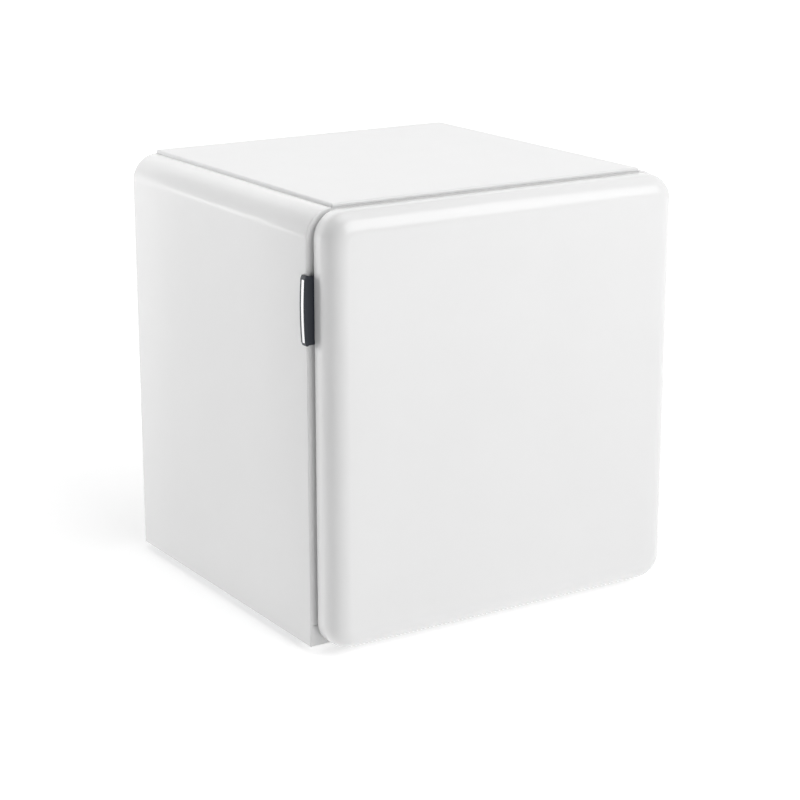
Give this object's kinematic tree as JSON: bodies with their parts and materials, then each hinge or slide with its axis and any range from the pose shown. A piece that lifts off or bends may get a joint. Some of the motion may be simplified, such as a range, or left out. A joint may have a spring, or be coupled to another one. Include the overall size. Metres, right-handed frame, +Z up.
{
  "type": "bar fridge",
  "caption": "Cube-shaped white bar fridge with a pillow-edged door hinged on the right, a side grip, an ice box and a static condenser at the back.",
  "frame": {"origin": "centre of the bounding box at the height of the surface the fridge stands on", "axes": "+Z up, -Y towards the door's front face, +X to the right seen from the front, where the door hinges"},
  "size_m": [0.473, 0.444, 0.492],
  "materials": {
    "white_enamel": "gloss white enamel on pressed steel",
    "white_top_panel": "satin white moulded top",
    "white_liner": "vacuum-formed white plastic",
    "insulation_foam": "rigid foam insulation, cream",
    "seal_grey": "soft grey seal",
    "navy_grip": "dark navy moulded plastic",
    "chrome_trim": "bright metal",
    "zinc_plate": "zinc-plated steel",
    "rolled_aluminium": "brushed sheet",
    "clear_plastic": "clear moulded plastic",
    "shelf_glass": "toughened glass, polished edge",
    "black_enamel": "semi-gloss black paint",
    "black_rubber": "matte rubber",
    "copper": "drawn copper tube",
    "grey_plastic": "grey moulded plastic",
    "black_plastic": "black moulded plastic",
    "white_nylon": "white nylon"
  },
  "bodies": {
    "cabinet": {"left_side_panel": "white_enamel", "right_side_panel": "white_enamel", "top_panel": "white_top_panel", "front_top_rail": "white_enamel", "front_bottom_rail": "white_enamel", "kick_plate": "white_enamel", "base_pan": "zinc_plate", "back_panel": "zinc_plate", "inner_liner": "white_liner", "cabinet_foam": "insulation_foam", "lower_hinge_plate": "zinc_plate", "upper_hinge_plate": "zinc_plate", "lower_hinge_pin": "zinc_plate", "upper_hinge_pin": "zinc_plate", "ice_box": "rolled_aluminium", "ice_box_bezel": "white_nylon", "left_tray_runner": "white_nylon", "right_tray_runner": "white_nylon", "thermostat_housing": "white_liner", "shelf_glass": "shelf_glass", "shelf_trim": "white_nylon", "compressor_mounting_plate": "zinc_plate", "compressor_shell": "black_enamel", "compressor_foot_plate": "black_enamel", "compressor_grommet_1": "black_rubber", "compressor_grommet_2": "black_rubber", "compressor_grommet_3": "black_rubber", "compressor_grommet_4": "black_rubber", "relay_cover": "black_plastic", "evaporation_tray": "grey_plastic", "drain_tube": "grey_plastic", "condenser_coil": "black_enamel", "upper_left_coil_clip": "white_nylon", "upper_right_coil_clip": "white_nylon", "lower_left_coil_clip": "white_nylon", "lower_right_coil_clip": "white_nylon", "discharge_pipe": "copper", "suction_pipe": "copper", "capillary_tube": "copper", "filter_drier": "copper", "rear_left_foot": "black_rubber", "rear_right_foot": "black_rubber"},
    "door": {"door_outer_panel": "white_enamel", "door_liner": "white_liner", "door_foam": "insulation_foam", "door_gasket": "seal_grey", "lower_hinge_bush": "white_nylon", "upper_hinge_bush": "white_nylon", "handle_grip": "navy_grip", "handle_trim": "chrome_trim", "upper_door_bin": "clear_plastic", "lower_door_bin": "clear_plastic", "bottle_rail": "chrome_trim"},
    "ice_box_flap": {"ice_box_flap": "clear_plastic"},
    "drip_tray": {"drip_tray": "clear_plastic"},
    "thermostat_dial": {"thermostat_dial": "white_nylon"},
    "front_left_foot": {"front_left_foot": "black_plastic"},
    "front_right_foot": {"front_right_foot": "black_plastic"}
  },
  "joints": [
    {"name": "door_hinge", "type": "hinge", "parent": "cabinet", "child": "door", "pos_m": [0.219, -0.202, 0.248], "axis": [0, 0, 1], "range_deg": [0, 110]},
    {"name": "ice_box_flap_hinge", "type": "hinge", "parent": "cabinet", "child": "ice_box_flap", "pos_m": [-0.0345, -0.06975, 0.433], "axis": [-1, 0, 0], "range_deg": [0, 85]},
    {"name": "drip_tray_slide", "type": "slide", "parent": "cabinet", "child": "drip_tray", "axis": [0, -1, 0], "range_m": [0, 0.09]},
    {"name": "thermostat_turn", "type": "hinge", "parent": "cabinet", "child": "thermostat_dial", "pos_m": [0.1505, 0.0321, 0.4117], "axis": [0, 1, 0], "range_deg": [0, 270]},
    {"name": "front_left_foot_turn", "type": "hinge", "parent": "cabinet", "child": "front_left_foot", "pos_m": [-0.1895, -0.134, 0.004], "axis": [0, 0, 1], "continuous": true},
    {"name": "front_right_foot_turn", "type": "hinge", "parent": "cabinet", "child": "front_right_foot", "pos_m": [0.1965, -0.134, 0.004], "axis": [0, 0, 1], "continuous": true}
  ]
}
